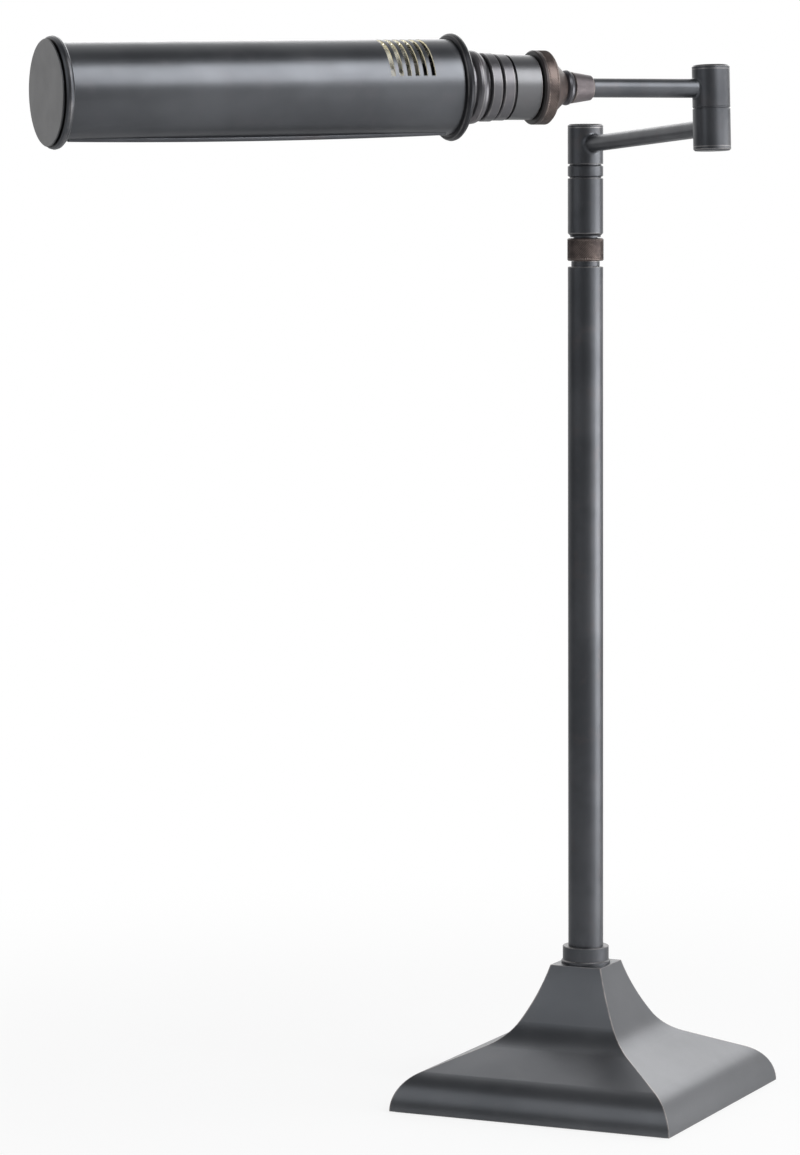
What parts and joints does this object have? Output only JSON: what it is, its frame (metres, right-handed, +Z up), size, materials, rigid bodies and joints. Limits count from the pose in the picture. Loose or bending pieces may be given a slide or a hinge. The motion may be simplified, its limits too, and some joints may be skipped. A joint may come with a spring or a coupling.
{
  "type": "piano lamp",
  "caption": "Swing-arm piano lamp: flared square base, slim column, two hinged arms and a long tubular shade that rolls about its arm.",
  "frame": {"origin": "column axis on the underside of the base's felt", "axes": "+Z up along the column; X and Y along the sides of the square base, with the cord inlet on the +Y side; the joints' zero is the pictured pose"},
  "size_m": [0.3045, 0.5362, 0.6611],
  "materials": {
    "base_finish": "satin gunmetal patina, edges worn brighter",
    "dark_bronze": "satin black-bronze patina",
    "shade_finish": "black-bronze patina outside, bare brass inside",
    "worn_bronze": "rubbed brown bronze",
    "plain_steel": "zinc plated",
    "plate_steel": "black painted sheet",
    "cast_iron": "rough cast",
    "felt": "dark felt",
    "bush_rubber": "moulded",
    "holder_black": "moulded phenolic",
    "bare_brass": "bright",
    "bulb_metal": "bright",
    "opal_glass": "opal white"
  },
  "bodies": {
    "stand": {"felt_pad": "felt", "bottom_plate": "plate_steel", "plate_screws": "plain_steel", "base_weight": "cast_iron", "base_shell": "base_finish", "cable_bush": "bush_rubber", "tie_tube": "plain_steel", "tie_washer": "plain_steel", "tie_nut": "plain_steel", "column_collar": "dark_bronze", "column_tube": "dark_bronze", "column_top_bush": "dark_bronze", "switch_core": "dark_bronze", "post_sleeve": "dark_bronze", "swivel_ring": "dark_bronze", "swivel_spindle": "plain_steel", "swivel_spring": "plain_steel", "swivel_nut": "plain_steel"},
    "switch": {"switch_ring": "worn_bronze"},
    "lower_swing": {"swivel_head": "dark_bronze", "head_cap": "dark_bronze", "lower_arm": "dark_bronze", "elbow_lower": "dark_bronze", "elbow_lower_cap": "dark_bronze", "elbow_spindle": "plain_steel", "elbow_spring": "plain_steel", "elbow_nut": "plain_steel", "elbow_washer": "dark_bronze"},
    "upper_swing": {"elbow_upper": "dark_bronze", "elbow_upper_cap": "dark_bronze", "upper_arm": "dark_bronze", "arm_ferrule": "worn_bronze", "ferrule_bead": "dark_bronze", "shade_spindle": "plain_steel", "shade_spring": "plain_steel", "shade_nut": "plain_steel"},
    "shade": {"socket_cone": "worn_bronze", "socket_cup": "dark_bronze", "turned_collar": "dark_bronze", "shade_flange": "dark_bronze", "shade_tube": "shade_finish", "shade_end_cap": "dark_bronze", "lampholder": "holder_black", "lampholder_nipple": "plain_steel", "nipple_nut": "plain_steel", "centre_contact": "bare_brass", "bulb_cap": "bulb_metal", "bulb_glass": "opal_glass"},
    "shade_lock": {"lock_ring": "worn_bronze"}
  },
  "joints": [
    {"name": "switch_turn", "type": "hinge", "parent": "stand", "child": "switch", "pos_m": [0, 0, 0.5346], "axis": [0, 0, 1], "range_deg": [0, 90]},
    {"name": "post_swivel", "type": "hinge", "parent": "stand", "child": "lower_swing", "pos_m": [0, 0, 0.5866], "axis": [0, 0, 1], "range_deg": [-170, 170]},
    {"name": "elbow_swivel", "type": "hinge", "parent": "lower_swing", "child": "upper_swing", "pos_m": [0.12945, -0.11987, 0.61927], "axis": [-0.0364, 0.0337, 0.9988], "range_deg": [-72, 250]},
    {"name": "shade_roll", "type": "hinge", "parent": "upper_swing", "child": "shade", "pos_m": [0.06504, -0.19131, 0.63064], "axis": [-0.6652, -0.7466, 0.001], "range_deg": [-150, 150]},
    {"name": "lock_turn", "type": "hinge", "parent": "shade", "child": "shade_lock", "pos_m": [0.05533, -0.20221, 0.63065], "axis": [-0.6652, -0.7466, 0.001], "range_deg": [0, 90]}
  ]
}
